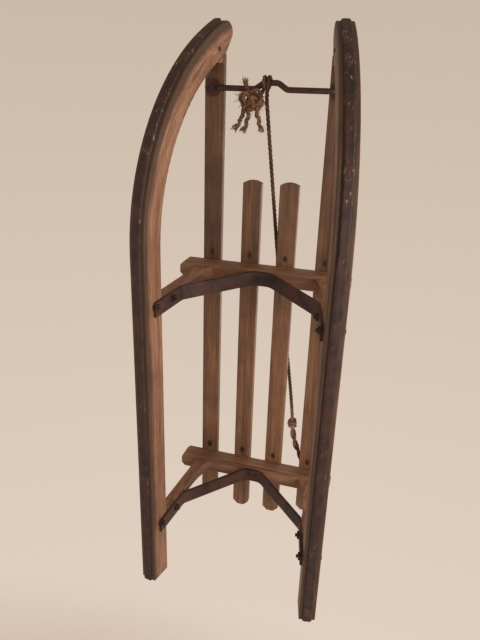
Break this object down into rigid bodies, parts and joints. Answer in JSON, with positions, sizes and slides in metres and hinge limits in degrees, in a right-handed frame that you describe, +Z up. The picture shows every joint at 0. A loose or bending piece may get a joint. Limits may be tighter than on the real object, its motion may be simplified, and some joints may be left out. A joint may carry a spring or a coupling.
{
  "type": "wooden sled",
  "caption": "Antique slatted wooden sled on two bowed, iron-shod runners, with splayed legs, forged braces, an iron pull bar and a hemp pull rope.",
  "frame": {"origin": "centre of the footprint, on the ground under the runners' soles", "axes": "+Z up, -Y towards the bowed front, X across the sled"},
  "size_m": [0.3434, 1.006, 0.2539],
  "materials": {
    "frame_wood": "aged, bare, hand worn",
    "slat_wood": "aged, darkened, bare",
    "peg_wood": "aged, bare end grain",
    "forged_iron": "forged, brown with rust",
    "fastener_iron": "forged, dark with rust",
    "hemp_rope": "laid hemp, weathered"
  },
  "bodies": {
    "root": {"right_runner": "frame_wood", "left_runner": "frame_wood", "front_beam": "frame_wood", "rear_beam": "frame_wood", "right_front_leg": "frame_wood", "left_front_leg": "frame_wood", "right_rear_leg": "frame_wood", "left_rear_leg": "frame_wood", "right_outer_slat": "slat_wood", "left_outer_slat": "slat_wood", "right_middle_slat": "slat_wood", "left_middle_slat": "slat_wood", "leg_pegs": "peg_wood", "right_shoe": "forged_iron", "left_shoe": "forged_iron", "front_brace": "forged_iron", "rear_brace": "forged_iron", "pull_bar": "forged_iron", "shoe_nails": "fastener_iron", "nose_nails": "fastener_iron", "slat_nails": "fastener_iron", "front_brace_screws": "fastener_iron", "rear_brace_screws": "fastener_iron", "brace_bolts": "fastener_iron", "brace_nuts": "fastener_iron", "pull_bar_bolts": "fastener_iron", "pull_bar_nuts": "fastener_iron", "rope": "hemp_rope", "rope_front_knot": "hemp_rope", "rope_tail_knot": "hemp_rope", "rope_hitch": "hemp_rope"}
  },
  "joints": []
}
